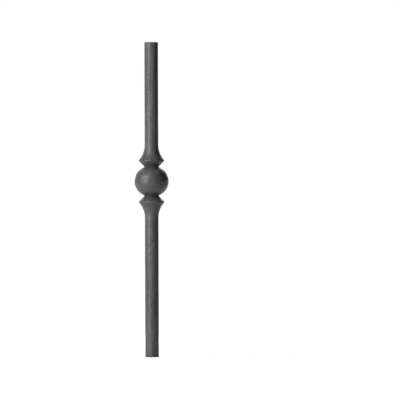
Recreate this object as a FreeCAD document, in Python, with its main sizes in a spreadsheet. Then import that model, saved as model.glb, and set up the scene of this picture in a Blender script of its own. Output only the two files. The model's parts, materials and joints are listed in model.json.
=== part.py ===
import FreeCAD, Part
import os

import Sketcher

# Round iron stair baluster, forged in one piece from round bar.
# A ball stands between two flared collars, and the plain bar runs on below and above them to two sawn ends.
# All sizes are in millimetres. +Z runs up the bar, and the origin is the middle of the bottom end.

# Driving dimensions: name, value and what it measures
DRIVING_SIZES = (
    ("bar_diameter", 16.0, "round bar that the baluster is forged from"),
    ("lower_length", 206.0, "bottom end to the middle of the ball"),
    ("upper_length", 163.0, "middle of the ball to the top end"),
    ("ball_diameter", 40.0, "across the ball at its widest"),
    ("ball_length", 33.0, "along the bar, from the neck below the ball to the neck above it"),
    ("neck_diameter", 17.5, "across the neck between ball and collar"),
    ("neck_length", 1.0, "straight stretch of each neck"),
    ("neck_radius", 0.4, "fillet at both ends of each neck"),
    ("collar_diameter", 31.2, "across each collar before its edge is rounded"),
    ("collar_radius", 1.5, "rounding of each collar's edge"),
    ("cone_length", 6.8, "along the bar, from neck to collar edge"),
    ("flare_length", 18.4, "along the bar, from collar edge to plain bar"),
    ("end_chamfer", 0.5, "broken edge of both sawn ends"),
)

# The two sides of the ball, each with the way that it runs along the bar
SIDES = {"lower": -1, "upper": 1}

# How a sketch numbers the points of its curves, and its own origin among them
POINTS = {"start": 1, "end": 2, "centre": 3}
ORIGIN = (-1, POINTS["start"])


def make_size_sheet(doc):
    """Spreadsheet of the driving dimensions, each value in a cell named for what it measures."""
    sheet = doc.addObject("Spreadsheet::Sheet", "Sizes")
    for row, (name, value, meaning) in enumerate(DRIVING_SIZES, start=1):
        sheet.set(f"A{row}", name)
        sheet.set(f"B{row}", str(value))
        sheet.setAlias(f"B{row}", name)
        sheet.set(f"C{row}", meaning)
    doc.recompute()
    return sheet


def corner_heights(size):
    """How far each corner of the outline lies from the middle of the ball, along the bar."""
    ball = size.ball_length / 2
    neck = ball + size.neck_length
    collar = neck + size.cone_length
    flare = collar + size.flare_length
    return {"ball": ball, "neck": neck, "collar": collar, "flare": flare}


def outline_point(radius, height):
    """Point of the half outline in the sketch's plane: distance from the axis, and height."""
    return FreeCAD.Vector(radius, height, 0)


def flare_arc(bar_point, collar_point):
    """Arc that leaves the straight bar with no corner and curls out to the collar's edge."""
    out = collar_point.x - bar_point.x
    along = collar_point.y - bar_point.y
    bend = (out**2 + along**2) / (2 * out)
    centre = outline_point(bar_point.x + bend, bar_point.y)
    towards_chord = ((bar_point + collar_point) / 2 - centre).normalize()
    return Part.Arc(bar_point, centre + towards_chord * abs(bend), collar_point)


class HalfOutline:
    """Sketch whose curves are joined end to end, with each size bound to a cell of the sheet."""

    def __init__(self, sketch):
        self.sketch = sketch

    def add(self, curve):
        return self.sketch.addGeometry(curve, False)

    def end_at(self, curve, place):
        """The curve, with the number of whichever of its two ends lies at that place."""
        ends = [(curve, POINTS[name]) for name in ("start", "end")]
        return min(ends, key=lambda end: self.sketch.getPoint(*end).distanceToPoint(place))

    def fix(self, kind, *references):
        self.sketch.addConstraint(Sketcher.Constraint(kind, *references))

    def join(self, first, second, place, kind="Coincident"):
        self.fix(kind, *self.end_at(first, place), *self.end_at(second, place))

    def dimension(self, name, direction, start, end, formula):
        """Named distance along the sketch's X or Y between two points, bound to the sheet."""
        axis = {"DistanceX": 0, "DistanceY": 1}[direction]
        places = {point: self.sketch.getPoint(*point)[axis] for point in (start, end)}
        near, far = sorted(places, key=places.get)
        gap = places[far] - places[near]
        index = self.sketch.addConstraint(Sketcher.Constraint(direction, *near, *far, gap))
        self.sketch.renameConstraint(index, name)
        self.sketch.setExpression(f"Constraints.{name}", formula)


def draw_side(outline, size, side, ball, axis, axis_end):
    """One side of the ball: neck, cone out to the collar, flare back to the bar, bar and sawn end."""
    level = {}
    for corner, height in corner_heights(size).items():
        level[corner] = size.lower_length + SIDES[side] * height
    ball_end = outline_point(size.neck_diameter / 2, level["ball"])
    neck_end = outline_point(size.neck_diameter / 2, level["neck"])
    collar_edge = outline_point(size.collar_diameter / 2, level["collar"])
    flare_end = outline_point(size.bar_diameter / 2, level["flare"])
    bar_end = outline_point(size.bar_diameter / 2, axis_end.y)

    neck = outline.add(Part.LineSegment(ball_end, neck_end))
    cone = outline.add(Part.LineSegment(neck_end, collar_edge))
    flare = outline.add(flare_arc(flare_end, collar_edge))
    bar = outline.add(Part.LineSegment(flare_end, bar_end))
    sawn_end = outline.add(Part.LineSegment(bar_end, axis_end))

    outline.join(ball, neck, ball_end)
    outline.join(neck, cone, neck_end)
    outline.join(cone, flare, collar_edge)
    outline.join(flare, bar, flare_end, kind="Tangent")
    outline.join(bar, sawn_end, bar_end)
    outline.join(sawn_end, axis, axis_end)
    outline.fix("Vertical", neck)
    outline.fix("Vertical", bar)
    outline.fix("Horizontal", sawn_end)

    corners = {
        "ball": outline.end_at(ball, ball_end),
        "neck": outline.end_at(cone, neck_end),
        "collar": outline.end_at(cone, collar_edge),
        "flare": outline.end_at(bar, flare_end),
    }
    widths = (("neck", "neck_diameter"), ("collar", "collar_diameter"), ("flare", "bar_diameter"))
    for corner, cell in widths:
        outline.dimension(f"{side}_{cell}", "DistanceX", ORIGIN, corners[corner], f"Sizes.{cell} / 2")
    spans = (
        ("ball", "neck", "neck_length"),
        ("neck", "collar", "cone_length"),
        ("collar", "flare", "flare_length"),
    )
    for near, far, cell in spans:
        outline.dimension(f"{side}_{cell}", "DistanceY", corners[near], corners[far], f"Sizes.{cell}")


def draw_half_outline(sketch, size):
    """Half of the baluster's outline, closed along its axis: the ball, and the two sides of it."""
    outline = HalfOutline(sketch)
    middle = size.lower_length
    widest = outline_point(size.ball_diameter / 2, middle)
    ball_ends = {}
    for side, way in SIDES.items():
        ball_ends[side] = outline_point(size.neck_diameter / 2, middle + way * size.ball_length / 2)
    axis_ends = {"lower": outline_point(0, 0), "upper": outline_point(0, middle + size.upper_length)}

    ball = outline.add(Part.Arc(ball_ends["lower"], widest, ball_ends["upper"]))
    axis = outline.add(Part.LineSegment(axis_ends["lower"], axis_ends["upper"]))
    for side in SIDES:
        draw_side(outline, size, side, ball, axis, axis_ends[side])

    # The axis stands on the origin, and the ball's centre lies between the two lengths
    ball_middle = (ball, POINTS["centre"])
    foot, head = (outline.end_at(axis, axis_ends[side]) for side in SIDES)
    outline.fix("Coincident", *foot, *ORIGIN)
    outline.fix("Vertical", axis)
    outline.dimension("lower_length", "DistanceY", ORIGIN, ball_middle, "Sizes.lower_length")
    outline.dimension("upper_length", "DistanceY", ball_middle, head, "Sizes.upper_length")
    necks = [outline.end_at(ball, ball_ends[side]) for side in SIDES]
    outline.dimension("ball_length", "DistanceY", *necks, "Sizes.ball_length")

    # The ball is widest on its arc, level with the arc's centre
    mark = (sketch.addGeometry(Part.Point(widest), True), POINTS["start"])
    outline.fix("PointOnObject", *mark, ball)
    outline.fix("Horizontal", *mark, *ball_middle)
    outline.dimension("ball_diameter", "DistanceX", ORIGIN, mark, "Sizes.ball_diameter / 2")


def round_edges(feature, diameter, heights):
    """Names of the feature's circular edges of that diameter, one at each of the heights."""
    tolerance = 1e-4
    found = []
    for number, edge in enumerate(feature.Shape.Edges, start=1):
        if not isinstance(edge.Curve, Part.Circle):
            continue
        right_size = abs(2 * edge.Curve.Radius - diameter) < tolerance
        right_place = any(abs(edge.Curve.Center.z - height) < tolerance for height in heights)
        if right_size and right_place:
            found.append(f"Edge{number}")
    if len(found) != len(heights):
        raise RuntimeError(f"{feature.Label}: {len(found)} edges {diameter} mm across, not {len(heights)}")
    return found


def make_baluster(doc, size):
    """The forged bar: its half outline turned about the axis, then its edges rounded or broken."""
    body = doc.addObject("PartDesign::Body", "baluster")
    body.Label = "baluster"
    upright = next(plane for plane in body.Origin.OriginFeatures if plane.Role == "XZ_Plane")

    half_outline = body.newObject("Sketcher::SketchObject", "half_outline")
    half_outline.AttachmentSupport = [(upright, "")]
    half_outline.MapMode = "FlatFace"
    draw_half_outline(half_outline, size)
    doc.recompute()

    forged_bar = body.newObject("PartDesign::Revolution", "forged_bar")
    forged_bar.Profile = half_outline
    forged_bar.ReferenceAxis = (half_outline, ["V_Axis"])
    forged_bar.Angle = 360
    doc.recompute()

    middle = size.lower_length
    pairs = {}
    for corner, height in corner_heights(size).items():
        pairs[corner] = [middle - height, middle + height]

    collar_edges = body.newObject("PartDesign::Fillet", "collar_edges")
    collar_edges.Base = (forged_bar, round_edges(forged_bar, size.collar_diameter, pairs["collar"]))
    collar_edges.setExpression("Radius", "Sizes.collar_radius")
    doc.recompute()

    neck_fillets = body.newObject("PartDesign::Fillet", "neck_fillets")
    neck_ends = pairs["ball"] + pairs["neck"]
    neck_fillets.Base = (collar_edges, round_edges(collar_edges, size.neck_diameter, neck_ends))
    neck_fillets.setExpression("Radius", "Sizes.neck_radius")
    doc.recompute()

    sawn_ends = body.newObject("PartDesign::Chamfer", "sawn_ends")
    bar_ends = [0, size.lower_length + size.upper_length]
    sawn_ends.Base = (neck_fillets, round_edges(neck_fillets, size.bar_diameter, bar_ends))
    sawn_ends.setExpression("Size", "Sizes.end_chamfer")
    body.Tip = sawn_ends
    doc.recompute()
    return body


def check(doc, pieces):
    """Stops the build if an object of the document failed, or a piece isn't one valid solid."""
    for item in doc.Objects:
        if "Invalid" in item.State or "Error" in item.State:
            raise RuntimeError(f"{item.Label} failed: {item.State}")
    for piece in pieces:
        shape = piece.Shape
        if shape.isNull() or not shape.isValid() or len(shape.Solids) != 1:
            raise RuntimeError(f"{piece.Label} isn't one valid solid")


def export(pieces):
    """Writes each piece to a STEP file named for its label, and prints its size."""
    os.makedirs("parts", exist_ok=True)
    for piece in pieces:
        piece.Shape.exportStep(f"parts/{piece.Label}.step")
        box = piece.Shape.optimalBoundingBox(True, False)
        print(f"{piece.Label}: {box.XLength:.2f} x {box.YLength:.2f} x {box.ZLength:.2f} mm")


document = FreeCAD.newDocument("stair_baluster")
sizes = make_size_sheet(document)
baluster = make_baluster(document, sizes)
check(document, [baluster])
export([baluster])
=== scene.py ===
# %% [markdown]
# # A forged iron stair baluster
#
# The real object is one round iron bar. A smith heats its middle until it glows, drives the bar together
# so that it swells, and closes shaped dies round the swelling: a ball comes out, with a flared collar on
# each side of it. Nothing is screwed, welded or glued on, so the scene has one piece, and all the work goes
# into its outline, the unevenness that forging leaves, and the dull grey skin that hot iron grows in air.
#
# The CAD model comes first, as a fixed frame. Its solid could simply be given a material, but it is
# perfectly even, which no forged bar is. So a new surface is worked out here and stands in the solid's
# place, and the solid's box is kept.

# %% Load the imported model and keep its box
import json
import math

import bpy
import numpy as np
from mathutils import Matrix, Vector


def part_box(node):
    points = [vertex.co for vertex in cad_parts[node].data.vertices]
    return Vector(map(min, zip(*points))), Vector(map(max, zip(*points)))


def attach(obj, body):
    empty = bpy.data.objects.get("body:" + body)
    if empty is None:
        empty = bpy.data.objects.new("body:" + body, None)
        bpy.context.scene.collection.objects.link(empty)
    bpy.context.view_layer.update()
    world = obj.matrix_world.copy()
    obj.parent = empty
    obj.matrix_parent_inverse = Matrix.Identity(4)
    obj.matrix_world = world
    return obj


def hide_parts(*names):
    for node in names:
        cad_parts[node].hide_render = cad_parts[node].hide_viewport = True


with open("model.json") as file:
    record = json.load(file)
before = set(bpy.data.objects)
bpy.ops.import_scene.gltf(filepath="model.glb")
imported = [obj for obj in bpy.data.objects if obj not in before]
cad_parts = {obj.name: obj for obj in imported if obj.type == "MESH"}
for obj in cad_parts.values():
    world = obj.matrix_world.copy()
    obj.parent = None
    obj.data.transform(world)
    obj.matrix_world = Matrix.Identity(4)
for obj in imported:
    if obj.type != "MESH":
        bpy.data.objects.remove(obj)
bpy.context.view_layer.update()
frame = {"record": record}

# %% [markdown]
# ## The sizes
#
# A smith works to a drawing, and so does this script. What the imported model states, such as the bar's
# radius, its length and the two plain stretches where it is held, is read from it, so that the two can't
# drift apart. The dies' own sizes aren't stated there, so they are written out here, in millimetres as on
# the drawing, and turned to Blender's metres at once.

# %% Sizes of bar, ball and collars, in metres
MILLIMETRE = 0.001

grips = {mount["name"]: mount["dims"] for mount in frame["record"]["mounts"]}
bar_radius = grips["bottom_end"]["r_mm"] * MILLIMETRE
lower_bar_length = grips["bottom_end"]["length_mm"] * MILLIMETRE
upper_bar_length = grips["top_end"]["length_mm"] * MILLIMETRE
top_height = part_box("baluster")[1].z
end_chamfer = 0.5 * MILLIMETRE

ball_radius = 20.0 * MILLIMETRE
ball_half_length = 16.5 * MILLIMETRE
neck_radius = 8.75 * MILLIMETRE
neck_length = 1.0 * MILLIMETRE
cone_length = 6.8 * MILLIMETRE
collar_radius = 15.6 * MILLIMETRE

# A corner is rounded where the two curves that meet in it differ by less than this
neck_rounding = 0.6 * MILLIMETRE
collar_rounding = 3.0 * MILLIMETRE

# Reach is counted along the bar from the middle of the ball
neck_reach = ball_half_length + neck_length
collar_reach = neck_reach + cone_length
flare_low = end_chamfer + lower_bar_length
flare_high = top_height - end_chamfer - upper_bar_length
ball_height = (flare_low + flare_high) / 2
flare_reach = (flare_high - flare_low) / 2
print(f"ball {ball_height:.4f} m up the bar, and each flare ends {flare_reach:.4f} m from its middle")

# %% [markdown]
# ## The outline
#
# Seen from any side, the baluster has the same outline, so its whole form is one curve: how far the surface
# lies from the axis at each height. One way to draw that curve is point by point, as a spline. Another is to
# write each stretch as its own short formula and to let the stretches run into each other, which is how the
# dies were cut: a straight bar, a flare with the bend of a large circle, a cone, a neck and a ball.
#
# The second way keeps every radius exact. A collar's edge is where flare and cone cross, and the lower of
# the two counts. A neck is where cone and ball come closer than the neck itself, and the highest counts. A
# soft minimum and a soft maximum round those corners, as no forged edge is sharp.


# %% Rounded corners between two curves
def soft_minimum(first, second, width):
    """The lower of two curves. Where they differ by less than width, a parabola rounds the corner:
    the minimum, less the square of the closeness (1 at the crossing, 0 at width) times a quarter of width."""
    closeness = np.clip(1 - np.abs(first - second) / width, 0, None)
    return np.minimum(first, second) - closeness**2 * width / 4


def soft_maximum(first, second, width):
    """The higher of two curves with its corner rounded: a soft minimum upside down."""
    return -soft_minimum(-first, -second, width)


print("two curves that cross at 0 are rounded there to:", soft_minimum(np.zeros(1), np.zeros(1), 1.0))


# %% Radius of the baluster at any height
def outline_radius(height):
    """Distance from the axis to the surface, for an array of heights.

    away  = distance along the bar from the ball's middle
    ball  = arc through both necks and the ball's widest point
    cone  = straight line from neck to collar edge
    flare = arc that starts level with the bar and curls out to the collar edge
    The bar lies under all of them, and soft minimum and maximum join them."""
    away = np.abs(height - ball_height)
    bulge = ball_radius - neck_radius
    ball_bend = (bulge**2 + ball_half_length**2) / (2 * bulge)
    ball = ball_radius - ball_bend + np.sqrt(np.clip(ball_bend**2 - away**2, 0, None))

    slope = (collar_radius - neck_radius) / (collar_reach - neck_reach)
    cone = neck_radius + slope * (away - neck_reach)

    rise = collar_radius - bar_radius
    run = flare_reach - collar_reach
    flare_bend = (rise**2 + run**2) / (2 * rise)
    short_of_bar = np.clip(flare_reach - away, 0, flare_bend)
    flare = bar_radius + flare_bend - np.sqrt(flare_bend**2 - short_of_bar**2)

    collar = soft_minimum(cone, flare, collar_rounding)
    necked = soft_maximum(collar, np.full_like(away, neck_radius), neck_rounding)
    middle = soft_maximum(necked, np.where(away < neck_reach, ball, 0), neck_rounding)
    outside = np.where(away < flare_reach, collar, bar_radius)
    return np.where(away < neck_reach + collar_rounding, middle, outside)


check_heights = ball_height + np.array([0, neck_reach, collar_reach, flare_reach])
check_radii = outline_radius(check_heights) / MILLIMETRE
print("radius at ball, neck, collar and bar, in mm:", np.round(check_radii, 2))

# %% [markdown]
# ## Rings along the bar
#
# The surface is a stack of rings. Rings at equal heights would be simple, but they would crowd the plain
# bar and leave the tight bends of the necks coarse. Here the rings are spaced by cost instead: a millimetre
# of outline costs more from flare to flare than on the bar, and each ring gets an equal share of the cost.

# %% Heights of the rings
BAR_STEP = 1.3 * MILLIMETRE
BALL_STEP = 0.42 * MILLIMETRE
STEP_BLEND = 2.0 * MILLIMETRE
OUTLINE_SAMPLES = 40001


def ring_heights():
    """Heights from the bottom chamfer to the top one, spaced by equal cost along the outline. The cost of
    a stretch is its length over the step wanted there, which blends from ball step to bar step past the
    flares' ends: share of ball step = 1 / (1 + e to the distance past the end over the blend)."""
    height = np.linspace(end_chamfer, top_height - end_chamfer, OUTLINE_SAMPLES)
    stretch = np.hypot(np.diff(height), np.diff(outline_radius(height)))
    past_flare = np.abs((height[1:] + height[:-1]) / 2 - ball_height) - flare_reach
    on_ball = 1 / (1 + np.exp(past_flare / STEP_BLEND))
    costs = stretch * (on_ball / BALL_STEP + (1 - on_ball) / BAR_STEP)
    cost = np.concatenate([[0], np.cumsum(costs)])
    return np.interp(np.linspace(0, cost[-1], round(cost[-1]) + 1), cost, height)


bar_heights = ring_heights()
print(f"{len(bar_heights)} rings along bar and ball")

# %% [markdown]
# ## Marks of the rolls and the hammer
#
# A lathe would turn the outline into a perfect solid of revolution. A forged bar is close to that and never
# quite there: the rolls that made the bar leave it a few hundredths of a millimetre out of round, dies and
# hammer leave shallow flats on ball and collars, and in the fire the middle loses a little of its surface as
# scale. A bump in the material could fake this, but then the outline against the light would stay perfect. So
# the marks are worked out for each point of the grid, as a sum of slow waves that meet themselves after one
# turn. Only their low side counts, because the dies stop the iron from standing proud.


# %% Waves round and along the bar
def slow_waves(turn, height, seed, most_around, shortest, longest):
    """Sum of waves that run round and along the bar, scaled to an average size of 1. Each wave is the
    cosine of (a whole number times the turn, plus the height over its length, plus an offset)."""
    waves = 28
    draw = np.random.default_rng(seed)
    total = np.zeros(np.broadcast(turn, height).shape)
    for _ in range(waves):
        times_around = draw.integers(0, most_around + 1)
        length = np.exp(draw.uniform(np.log(shortest), np.log(longest))) * draw.choice([-1, 1])
        offset = draw.uniform(0, 2 * np.pi)
        total += np.cos(times_around * turn + 2 * np.pi * height / length + offset)
    return total / np.sqrt(waves / 2)


ROLL_WAVES = {"seed": 11, "most_around": 4, "shortest": 30 * MILLIMETRE, "longest": 160 * MILLIMETRE}
HAMMER_WAVES = {"seed": 12, "most_around": 12, "shortest": 7 * MILLIMETRE, "longest": 24 * MILLIMETRE}

AROUND = 160
turns = np.linspace(0, 2 * np.pi, AROUND, endpoint=False)[None, :]
hammer_waves = slow_waves(turns, bar_heights[:, None], **HAMMER_WAVES)
print(f"hammer waves: average size {np.sqrt(np.mean(hammer_waves**2)):.2f} before they get their depth")

# %% Depth of the marks
ROLL_DEPTH = 0.035 * MILLIMETRE
HAMMER_DEPTH = 0.12 * MILLIMETRE
SCALE_LOSS = 0.07 * MILLIMETRE


def forged_share(height):
    """0 on the plain bar, 1 on collars and ball, and a straight rise along each flare."""
    return np.clip((flare_reach - np.abs(height - ball_height)) / (flare_reach - collar_reach), 0, 1)


def forging_marks(turn, height):
    """How far the surface lies below the dies' outline, as a number under 0: rolling waves all over, plus
    hammer waves times the forged share, of which a soft minimum with 0 keeps the low side, less the scale
    that came off in the fire."""
    rolled = ROLL_DEPTH * slow_waves(turn, height, **ROLL_WAVES)
    hammered = HAMMER_DEPTH * slow_waves(turn, height, **HAMMER_WAVES)
    forged = forged_share(height)
    return soft_minimum(rolled + forged * hammered, 0, ROLL_DEPTH) - forged * SCALE_LOSS


bar_marks = forging_marks(turns, bar_heights[:, None])
mark_depths = np.quantile(-bar_marks / MILLIMETRE, [0.5, 1.0])
print("middling and deepest mark, in mm:", np.round(mark_depths, 3))

# %% [markdown]
# ## The closed surface
#
# Each ring is a circle of points, pulled in by the marks. The two sawn ends are flat discs of smaller and
# smaller rings with one point in the middle, and the short step from the last disc ring to the first bar ring
# is the broken edge that a file leaves on a sawn bar. Every ring meets itself, so the skin has no seam.
#
# Shading is smooth all over, apart from edges that turn by more than 32 degrees. Those are the ends' edges,
# and the crease where the ball meets each neck.

# %% Rings of the ends and of the bar
END_RINGS = 6

end_radii = np.linspace(0, bar_radius - end_chamfer, END_RINGS + 1)[1:]
ring_radii = np.concatenate([end_radii, outline_radius(bar_heights), end_radii[::-1]])
ring_levels = np.concatenate([0 * end_radii, bar_heights, 0 * end_radii + top_height])
on_end = np.concatenate([np.ones(END_RINGS), np.zeros(len(bar_heights)), np.ones(END_RINGS)])
print(f"{len(ring_levels)} rings of {AROUND} points")


# %% Points and faces
def baluster_points():
    """Rings of points from the bottom end to the top one, as an array (ring, place around, xyz).
    A point lies at (r cos turn, r sin turn, height), where r is the outline plus the marks, under 0."""
    height = ring_levels[:, None]
    r = ring_radii[:, None] + (1 - on_end[:, None]) * forging_marks(turns, height)
    return np.stack([r * np.cos(turns), r * np.sin(turns), height + 0 * turns], axis=-1)


def closed_faces(rings, around):
    """Four-sided faces between neighbouring rings, and a fan of triangles from each end ring to its middle.
    Points count ring by ring, and the two middle points come last, the bottom one first."""
    number = np.arange(rings * around).reshape(rings, around)
    low, high = number[:-1], number[1:]
    walls = np.stack([low, np.roll(low, -1, 1), np.roll(high, -1, 1), high], axis=-1).reshape(-1, 4)
    bottom = np.stack([np.full(around, rings * around), np.roll(number[0], -1), number[0]], axis=-1)
    top = np.stack([np.full(around, rings * around + 1), number[-1], np.roll(number[-1], -1)], axis=-1)
    return walls.tolist() + bottom.tolist() + top.tolist()


end_middles = np.array([[0, 0, 0], [0, 0, top_height]])
points = np.concatenate([baluster_points().reshape(-1, 3), end_middles])
faces = closed_faces(len(ring_levels), AROUND)
print(f"{len(points)} points, {len(faces)} faces")

# %% The piece that stands for the CAD solid
SHARPEST_SMOOTH_EDGE = math.radians(32)

mesh = bpy.data.meshes.new("baluster_forged")
mesh.from_pydata(points, [], faces)
mesh.polygons.foreach_set("use_smooth", np.ones(len(mesh.polygons), bool))
mesh.set_sharp_from_angle(angle=SHARPEST_SMOOTH_EDGE)
mesh.update()

baluster = bpy.data.objects.new("baluster_forged", mesh)
bpy.context.scene.collection.objects.link(baluster)
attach(baluster, "root")
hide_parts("baluster")
print("size of the piece, in mm:", [round(side / MILLIMETRE, 2) for side in baluster.dimensions])

# %% [markdown]
# ## Where the skin differs
#
# Not all of the bar looks alike. The plain stretches keep the streaks of the rolls, which forging wipes off
# the ball and collars. The collars' rims stand out and knock against other bars, so they are scuffed dull.
# The necks lie deep, so soot stays in them, and part of their darkness is painted shade. The two ends
# were sawn after forging and have no such skin.
#
# A shader could guess such places from the curvature of the surface. The outline already says where they
# are, so each point of the mesh gets a few numbers from 0 to 1, and the material reads them by name.

# %% Numbers for each point
SCUFF_WIDTH = 1.1 * MILLIMETRE
# How far the necks' soot and painted shade reach along the bar
SOOT_AND_SHADE_WIDTH = 2.2 * MILLIMETRE


def fading(distance, width):
    """1 where the distance is 0 and about a third at one width: e to the minus square of their ratio."""
    return np.exp(-((distance / width) ** 2))


away_from_ball = np.abs(ring_levels - ball_height)
ring_numbers = {
    "skin": 1 - on_end,
    "sawn": on_end,
    "rolled": 1 - forged_share(ring_levels),
    "pressed": forged_share(ring_levels),
    "scuffed": fading(away_from_ball - collar_reach, SCUFF_WIDTH),
    # The necks: soot, with painted shade darkening the crease
    "soot_and_shade": fading(away_from_ball - neck_reach, SOOT_AND_SHADE_WIDTH),
}
for name, numbers in ring_numbers.items():
    of_points = np.concatenate([np.repeat(numbers, AROUND), numbers[[0, -1]]]).astype(np.float32)
    mesh.attributes.new(name, "FLOAT", "POINT").data.foreach_set("value", of_points)
    print(f"{name}: over a half on {np.mean(of_points > 0.5):.1%} of the points")

# %% [markdown]
# ## Tools for materials
#
# A colour is easiest to pick as it looks on a screen, as sRGB hex, while a renderer adds up light in linear
# numbers, so one function turns the first into the second. Nodes could be added in Blender's editor, or with
# four or five lines each in a script. One small function does the same in a line: it makes the node, puts
# its settings on it, and fills or links its inputs.


# %% Colours and nodes
def linear(hex_colour):
    """A colour written as sRGB hex, as linear RGBA: the sRGB curve undone, channel by channel."""
    channels = np.array([int(hex_colour[place:place + 2], 16) for place in (1, 3, 5)]) / 255
    low = channels / 12.92
    high = ((channels + 0.055) / 1.055) ** 2.4
    return (*np.where(channels <= 0.04045, low, high), 1.0)


def add_node(tree, kind, inputs=None, **settings):
    """Adds one node. Settings go on the node. An input is a value for its socket, or an output to link."""
    made = tree.nodes.new(kind)
    for name, value in settings.items():
        setattr(made, name, value)
    for name, value in (inputs or {}).items():
        if isinstance(value, bpy.types.NodeSocket):
            tree.links.new(value, made.inputs[name])
        else:
            made.inputs[name].default_value = value
    return made


# A Mix node numbers its sockets: the factor, then two numbers, or two colours
FACTOR, NUMBER_UNDER, NUMBER_OVER, COLOUR_UNDER, COLOUR_OVER = 0, 2, 3, 6, 7
MIXED_NUMBER, MIXED_COLOUR = 0, 2

print("middle grey, in linear light:", [round(float(channel), 3) for channel in linear("#808080")[:3]])

# %% [markdown]
# ## Patterns in forge scale
#
# Iron that is worked hot grows a thin grey oxide, forge scale. It never lies evenly: it is mottled in soft
# clouds, drifts from darker to paler along the bar, is drawn out into streaks by the rolls, comes off in
# flakes and small pits, and has a skin like orange peel with a fine grain on it. A photograph wrapped round
# the bar could show all that, but it would have a seam and one fixed size. Here each pattern is a noise whose
# patches have a real size in millimetres, and it reads the object's own coordinates, so it runs on over every
# edge.

# %% The material, and one noise for each pattern
# Size of a patch along X, Y and Z in millimetres, and how many finer layers lie on it. The grain is really
# about 0.2 mm, and is drawn coarser so that it shows.
PATTERNS = {
    "drift": ((42, 42, 42), 1.0),
    "clouds": ((8, 8, 15), 4.0),
    "streaks": ((1.6, 1.6, 26), 1.0),
    "flakes": ((5, 5, 8), 6.0),
    "pits": ((2.4, 2.4, 3.0), 4.0),
    "peel": ((2.6, 2.6, 3.4), 2.0),
    "grain": ((0.5, 0.5, 0.5), 3.0),
    "saw_lines": ((0.5, 30, 30), 2.0),
}
LAYER_STRENGTH = 0.6
# Where in the endless noise the bar lies, picked so that its paler stretches fall as on the real one
NOISE_START = (48.3, 48.5, 30.9)

iron = bpy.data.materials.new("forge_scaled_iron")
iron.use_nodes = True
skin_tree = iron.node_tree
skin_tree.nodes.clear()
place = add_node(skin_tree, "ShaderNodeTexCoord").outputs["Object"]

patterns = {}
for name, (patch, layers) in PATTERNS.items():
    inputs = {"Vector": place, "Scale": [1 / (side * MILLIMETRE) for side in patch], "Location": NOISE_START}
    sized = add_node(skin_tree, "ShaderNodeMapping", inputs).outputs["Vector"]
    inputs = {"Vector": sized, "Scale": 1.0, "Detail": layers, "Roughness": LAYER_STRENGTH}
    patterns[name] = add_node(skin_tree, "ShaderNodeTexNoise", inputs).outputs["Fac"]
print("patterns of the scale:", ", ".join(patterns))

# %% [markdown]
# ## Thick and thin scale
#
# Scale is an oxide and not bare metal, so it isn't metallic, and its gloss is weak and broad, like that of
# slate. Where it is thick it is darker and rougher, and where it is thin the smoother iron below shows
# through as a paler grey. One number says how thin it is, added up from clouds, drift and grain, and colour
# and roughness both follow it. Two separate noises would be as easy, but then dark spots could shine.

# %% Colour and roughness from the scale's thickness
THICK_SCALE = "#333333"
THIN_SCALE = "#4e4e4e"
THICK_ROUGHNESS = 0.62
THIN_ROUGHNESS = 0.50
THINNESS_SHARES = {"clouds": 0.6, "drift": 0.3, "grain": 0.1}
ALL_THICK, ALL_THIN = 0.32, 0.68
# Height of the peel and the grain, in millimetres
UNEVENNESS = {"peel": 0.10, "grain": 0.07}

thinness = 0.0
for name, share in THINNESS_SHARES.items():
    inputs = {0: patterns[name], 1: share, 2: thinness}
    thinness = add_node(skin_tree, "ShaderNodeMath", inputs, operation="MULTIPLY_ADD").outputs["Value"]

inputs = {"Value": thinness, "From Min": ALL_THICK, "From Max": ALL_THIN}
thin = add_node(skin_tree, "ShaderNodeMapRange", inputs, interpolation_type="SMOOTHSTEP").outputs["Result"]
inputs = {FACTOR: thin, COLOUR_UNDER: linear(THICK_SCALE), COLOUR_OVER: linear(THIN_SCALE)}
colour = add_node(skin_tree, "ShaderNodeMix", inputs, data_type="RGBA").outputs[MIXED_COLOUR]
inputs = {FACTOR: thin, NUMBER_UNDER: THICK_ROUGHNESS, NUMBER_OVER: THIN_ROUGHNESS}
roughness = add_node(skin_tree, "ShaderNodeMix", inputs).outputs[MIXED_NUMBER]
height = 0.0
for name, depth in UNEVENNESS.items():
    inputs = {0: patterns[name], 1: depth, 2: height}
    height = add_node(skin_tree, "ShaderNodeMath", inputs, operation="MULTIPLY_ADD").outputs["Value"]
print("bare scale:", len(skin_tree.nodes), "nodes so far")
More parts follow.
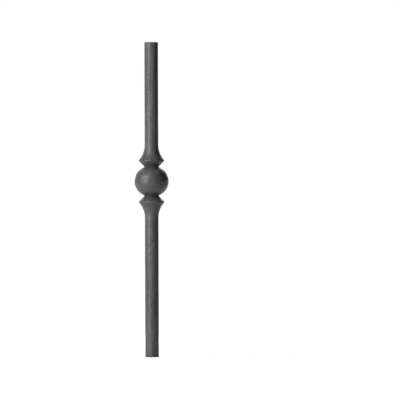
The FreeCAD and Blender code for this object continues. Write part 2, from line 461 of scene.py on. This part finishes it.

# %% [markdown]
# ## Coats over the scale
#
# What lies on the scale, or has broken it, is a stack of coats. Each coat lies within one of the mesh's
# numbers, is broken up by one of the patterns, and has its own colour, roughness, share of bare metal and
# height. A layered shader could mix a whole shader for each coat. Mixing the numbers first and shading once
# renders faster and exports as one plain material.
#
# - drawn out: paler streaks that the rolls left along the plain bar
# - pressed: smoother scale that the dies pressed flat on ball and collars
# - flaked: where scale has come off, smoother and a little lower, with some bare iron
# - pitted: small holes where loose scale was hammered in
# - soot_and_shade: soot and painted shade, dull black in the necks
# - scuffed: duller skin along the collars' rims, with a trace of bare iron
# - sawn and scored: the bare grey ends, and the lines that the saw's teeth left on them

# %% Where each coat lies, and what it is like
# A coat starts where its pattern passes the first of its two bounds, and covers all at the second. A pattern
# varies about 0.5 and seldom passes 0.2 or 0.8. Heights are in millimetres.
COATS = {
    "drawn_out": {"within": "rolled", "pattern": "streaks", "bounds": (0.42, 0.80),
                  "colour": "#525252", "roughness": 0.46, "metallic": 0.0, "height": 0.0},
    "pressed": {"within": "pressed", "pattern": "clouds", "bounds": (0.20, 0.60),
                "colour": "#434343", "roughness": 0.42, "metallic": 0.0, "height": 0.0},
    "flaked": {"within": "skin", "pattern": "flakes", "bounds": (0.57, 0.65),
               "colour": "#505050", "roughness": 0.46, "metallic": 0.2, "height": -0.02},
    "pitted": {"within": "skin", "pattern": "pits", "bounds": (0.58, 0.70),
               "colour": "#2d2d2d", "roughness": 0.76, "metallic": 0.0, "height": -0.05},
    # Soot in the necks, with painted shade darkening the crease
    "soot_and_shade": {"within": "soot_and_shade", "pattern": "clouds", "bounds": (0.25, 0.55),
              "colour": "#2c2c2c", "roughness": 0.74, "metallic": 0.0, "height": 0.0},
    "scuffed": {"within": "scuffed", "pattern": "flakes", "bounds": (0.38, 0.60),
                "colour": "#3e3e3e", "roughness": 0.58, "metallic": 0.05, "height": 0.0},
    "sawn": {"within": "sawn", "pattern": "saw_lines", "bounds": (0.0, 0.1),
             "colour": "#606060", "roughness": 0.44, "metallic": 0.5, "height": 0.0},
    "scored": {"within": "sawn", "pattern": "saw_lines", "bounds": (0.38, 0.68),
               "colour": "#505050", "roughness": 0.52, "metallic": 0.4, "height": -0.03},
}

masks = {}
for name, coat in COATS.items():
    within = add_node(skin_tree, "ShaderNodeAttribute", attribute_name=coat["within"]).outputs["Fac"]
    starts, covers = coat["bounds"]
    inputs = {"Value": patterns[coat["pattern"]], "From Min": starts, "From Max": covers}
    broken_up = add_node(skin_tree, "ShaderNodeMapRange", inputs, interpolation_type="SMOOTHSTEP")
    inputs = {0: within, 1: broken_up.outputs["Result"]}
    masks[name] = add_node(skin_tree, "ShaderNodeMath", inputs, operation="MULTIPLY").outputs["Value"]
print("coats, from the lowest up:", ", ".join(masks))

# %% Coat over coat
numbers = {"roughness": roughness, "metallic": 0.0}
for name, coat in COATS.items():
    inputs = {FACTOR: masks[name], COLOUR_UNDER: colour, COLOUR_OVER: linear(coat["colour"])}
    colour = add_node(skin_tree, "ShaderNodeMix", inputs, data_type="RGBA").outputs[MIXED_COLOUR]
    for trait, under in numbers.items():
        inputs = {FACTOR: masks[name], NUMBER_UNDER: under, NUMBER_OVER: coat[trait]}
        numbers[trait] = add_node(skin_tree, "ShaderNodeMix", inputs).outputs[MIXED_NUMBER]
    inputs = {0: masks[name], 1: coat["height"], 2: height}
    height = add_node(skin_tree, "ShaderNodeMath", inputs, operation="MULTIPLY_ADD").outputs["Value"]
print("with its coats:", len(skin_tree.nodes), "nodes")

# %% The finished skin
# The oxide is porous, which takes a fifth off the gloss of a smooth stone, whose specular level would be 0.5
SCALE_GLOSS = 0.4

bumps = add_node(skin_tree, "ShaderNodeBump", {"Height": height, "Distance": MILLIMETRE}).outputs["Normal"]
inputs = {
    "Base Color": colour,
    "Roughness": numbers["roughness"],
    "Metallic": numbers["metallic"],
    "Specular IOR Level": SCALE_GLOSS,
    "Normal": bumps,
}
skin = add_node(skin_tree, "ShaderNodeBsdfPrincipled", inputs).outputs["BSDF"]
add_node(skin_tree, "ShaderNodeOutputMaterial", {"Surface": skin})
mesh.materials.append(iron)
print("material:", iron.name, "with", len(skin_tree.nodes), "nodes")

# %% [markdown]
# ## Room and floor
#
# The picture's ground is white. More light would make it white and would bleach the iron with it. Instead
# floor and room show white to the camera, and to whatever gloss or glass mirrors them, and give the iron
# only a little light of their own. Near the baluster's foot the floor shows less of that white and more of
# the real light that falls on it, so that the shadow stays.


# %% Rays that show the ground
def shows_ground(tree):
    """1 for rays that show the ground: from the camera, or by way of a gloss or a glass. 0 for the rest.
    It is the highest of the three numbers that Light Path gives for them."""
    path = add_node(tree, "ShaderNodeLightPath")
    seen = path.outputs["Is Camera Ray"]
    for kind in ("Is Glossy Ray", "Is Transmission Ray"):
        inputs = {0: seen, 1: path.outputs[kind]}
        seen = add_node(tree, "ShaderNodeMath", inputs, operation="MAXIMUM").outputs["Value"]
    return seen


WHITE = 1.0
PURE_WHITE = "#ffffff"
print(f"ground: {PURE_WHITE} at strength {WHITE}, to the camera, to gloss and to glass")

# %% The room
ROOM_LIGHT = 0.03

world = bpy.data.worlds.new("white_room")
world.use_nodes = True
world.node_tree.nodes.clear()
bpy.context.scene.world = world

inputs = {FACTOR: shows_ground(world.node_tree), NUMBER_UNDER: ROOM_LIGHT, NUMBER_OVER: WHITE}
strength = add_node(world.node_tree, "ShaderNodeMix", inputs).outputs[MIXED_NUMBER]
inputs = {"Color": linear(PURE_WHITE), "Strength": strength}
background = add_node(world.node_tree, "ShaderNodeBackground", inputs).outputs["Background"]
add_node(world.node_tree, "ShaderNodeOutputWorld", {"Surface": background})
print(f"room: shows {WHITE}, lights with {ROOM_LIGHT}")

# %% The floor
FLOOR_PAINT = "#e6e6e6"
FLOOR_REACH = 12.0
GLOW_AT_FOOT = 0.5
SHADOW_REACH = 1.8

# Matt paint: pale and with no gloss, so that all it shows is light and shadow
paint = bpy.data.materials.new("pale_floor_paint")
paint.use_nodes = True
paint_tree = paint.node_tree
paint_tree.nodes.clear()
matt = add_node(paint_tree, "ShaderNodeBsdfDiffuse", {"Color": linear(FLOOR_PAINT)}).outputs["BSDF"]
spot = add_node(paint_tree, "ShaderNodeTexCoord").outputs["Object"]
from_foot = add_node(paint_tree, "ShaderNodeVectorMath", {0: spot}, operation="LENGTH").outputs["Value"]
inputs = {"Value": from_foot, "From Max": SHADOW_REACH, "To Min": GLOW_AT_FOOT, "To Max": WHITE}
glow = add_node(paint_tree, "ShaderNodeMapRange", inputs, interpolation_type="SMOOTHSTEP").outputs["Result"]
inputs = {0: glow, 1: shows_ground(paint_tree)}
strength = add_node(paint_tree, "ShaderNodeMath", inputs, operation="MULTIPLY").outputs["Value"]
inputs = {"Color": linear(PURE_WHITE), "Strength": strength}
white = add_node(paint_tree, "ShaderNodeEmission", inputs).outputs["Emission"]
surface = add_node(paint_tree, "ShaderNodeAddShader", {0: matt, 1: white}).outputs["Shader"]
add_node(paint_tree, "ShaderNodeOutputMaterial", {"Surface": surface})

corners = FLOOR_REACH * np.array([(-1, -1, 0), (1, -1, 0), (1, 1, 0), (-1, 1, 0)])
floor_mesh = bpy.data.meshes.new("floor")
floor_mesh.from_pydata(corners, [], [(0, 1, 2, 3)])
floor_mesh.materials.append(paint)
floor = bpy.data.objects.new("floor", floor_mesh)
bpy.context.scene.collection.objects.link(floor)
print(f"floor: {2 * FLOOR_REACH:.0f} m wide, its own shadow kept within {SHADOW_REACH} m of the foot")

# %% [markdown]
# ## Black curtains
#
# In a room that is white all round, dark iron turns pale: its gloss mirrors white from every side, and the
# side away from the lamp never gets dark. On the real bar that side is nearly black. Painting it darker
# would be wrong from every other angle. Photographers hang black cloth there instead, and so does this
# scene: a wide curtain to the right and a narrow one to the left, outside the lamps, with the white ground
# still open in front, behind and below. They are real parts of the room, which shade the iron and the floor.
# Only the camera looks through them, as other views are taken from beyond them.

# %% Two curtains
# The first and last direction of each, in degrees from the camera's side
CURTAINS = {"right_curtain": (25, 140), "left_curtain": (-120, -85)}
CURTAIN_DISTANCE = 2.5
CURTAIN_HEIGHT = 4.5
CURTAIN_POINTS = 33
BLACK_CLOTH = "#1c1c1c"

# Cotton cloth with a nap, which swallows light: nearly black, with no gloss
cloth = bpy.data.materials.new("black_cloth")
cloth.use_nodes = True
cloth.node_tree.nodes.clear()
nap = add_node(cloth.node_tree, "ShaderNodeBsdfDiffuse", {"Color": linear(BLACK_CLOTH)}).outputs["BSDF"]
add_node(cloth.node_tree, "ShaderNodeOutputMaterial", {"Surface": nap})


def curtain_points(first, last):
    """Two rows of points, foot and top. Each lies at the distance times (sine, minus cosine) of its turn."""
    turn = np.radians(np.linspace(first, last, CURTAIN_POINTS))
    foot = CURTAIN_DISTANCE * np.stack([np.sin(turn), -np.cos(turn), 0 * turn], axis=-1)
    return np.concatenate([foot, foot + [0, 0, CURTAIN_HEIGHT]])


for name, (first, last) in CURTAINS.items():
    low = np.arange(CURTAIN_POINTS - 1)
    widths = np.stack([low, low + 1, low + 1 + CURTAIN_POINTS, low + CURTAIN_POINTS], axis=-1)
    curtain_mesh = bpy.data.meshes.new(name)
    curtain_mesh.from_pydata(curtain_points(first, last), [], widths.tolist())
    curtain_mesh.materials.append(cloth)
    curtain = bpy.data.objects.new(name, curtain_mesh)
    curtain.visible_camera = False
    bpy.context.scene.collection.objects.link(curtain)
    print(f"{name}: from {first} to {last} degrees, {CURTAIN_DISTANCE} m away")

# %% [markdown]
# ## Light
#
# On the real bar the light comes from one side: a soft bright strip runs down its left, and its right side
# sinks into shade. On the ball the bright spot is tall and narrow, so the lamp is too: a tall softbox to the
# left of the camera. A sun lamp would give a hard line, and light from all round would flatten the bar. The
# softbox has a plain level: a grey card that faces the camera renders about as its colour is written, and one
# that faces the lamp somewhat lighter. A second, weaker softbox stands behind, so that the back isn't black
# when the bar is looked at from there.

# %% Two softboxes
# Direction counted from the camera's side and height above the level, in degrees; size in metres; watts
LAMPS = {
    "key_softbox": {"turn": -46, "lift": 21, "width": 0.25, "height": 1.1, "watts": 20.5},
    "back_softbox": {"turn": 178, "lift": 30, "width": 0.6, "height": 0.6, "watts": 8},
}
LAMP_DISTANCE = 1.2

for name, lamp in LAMPS.items():
    softbox = bpy.data.lights.new(name, "AREA")
    softbox.shape = "RECTANGLE"
    softbox.size = lamp["width"]
    softbox.size_y = lamp["height"]
    softbox.energy = lamp["watts"]
    turn = math.radians(lamp["turn"])
    lift = math.radians(lamp["lift"])
    level = LAMP_DISTANCE * math.cos(lift)
    up = top_height / 2 + LAMP_DISTANCE * math.sin(lift)
    stand = bpy.data.objects.new(name, softbox)
    stand.location = (level * math.sin(turn), -level * math.cos(turn), up)
    stand.rotation_euler = (math.pi / 2 - lift, 0, turn)
    bpy.context.scene.collection.objects.link(stand)
    print(f"{name}: {lamp['watts']} W from {lamp['turn']} degrees")

# %% [markdown]
# ## Camera
#
# The picture was taken level with the middle of the bar and from far off: both collars show as straight
# lines, and neither end shows its face. So the camera stands 8 m away with a long lens. Moving it sideways
# puts the bar left of the middle, as in the picture, where a lens shift would do so too but would stay on in
# every other view. The bar leans by a fifth of a degree, which is the camera's roll.

# %% Camera at the picture's angle
# The picture's width and where the bar stands in it, in pixels
PICTURE_WIDTH = 400
ROWS_OF_BAR = 315
AXIS_COLUMN = 151.65
MIDDLE_ROW = 199.5
CAMERA_ROLL = math.radians(0.18)
CAMERA_DISTANCE = 8.0
# Blender states a lens and the sensor behind it in millimetres
SENSOR_WIDTH = 36

metres_per_pixel = top_height / ROWS_OF_BAR
lens = bpy.data.cameras.new("camera")
lens.sensor_width = SENSOR_WIDTH
lens.lens = SENSOR_WIDTH * CAMERA_DISTANCE / (PICTURE_WIDTH * metres_per_pixel)
lens.clip_end = CAMERA_DISTANCE + 2 * FLOOR_REACH
camera = bpy.data.objects.new("camera", lens)
aside = (PICTURE_WIDTH / 2 - AXIS_COLUMN) * metres_per_pixel
lower = (PICTURE_WIDTH / 2 - MIDDLE_ROW) * metres_per_pixel
camera.location = (aside, -CAMERA_DISTANCE, top_height / 2 - lower)
camera.rotation_euler = (math.pi / 2, CAMERA_ROLL, 0)
bpy.context.scene.collection.objects.link(camera)
bpy.context.scene.camera = camera
bpy.context.scene.view_settings.view_transform = "Standard"
print(f"camera: {lens.lens:.0f} mm lens, {metres_per_pixel / MILLIMETRE:.2f} mm to a pixel")
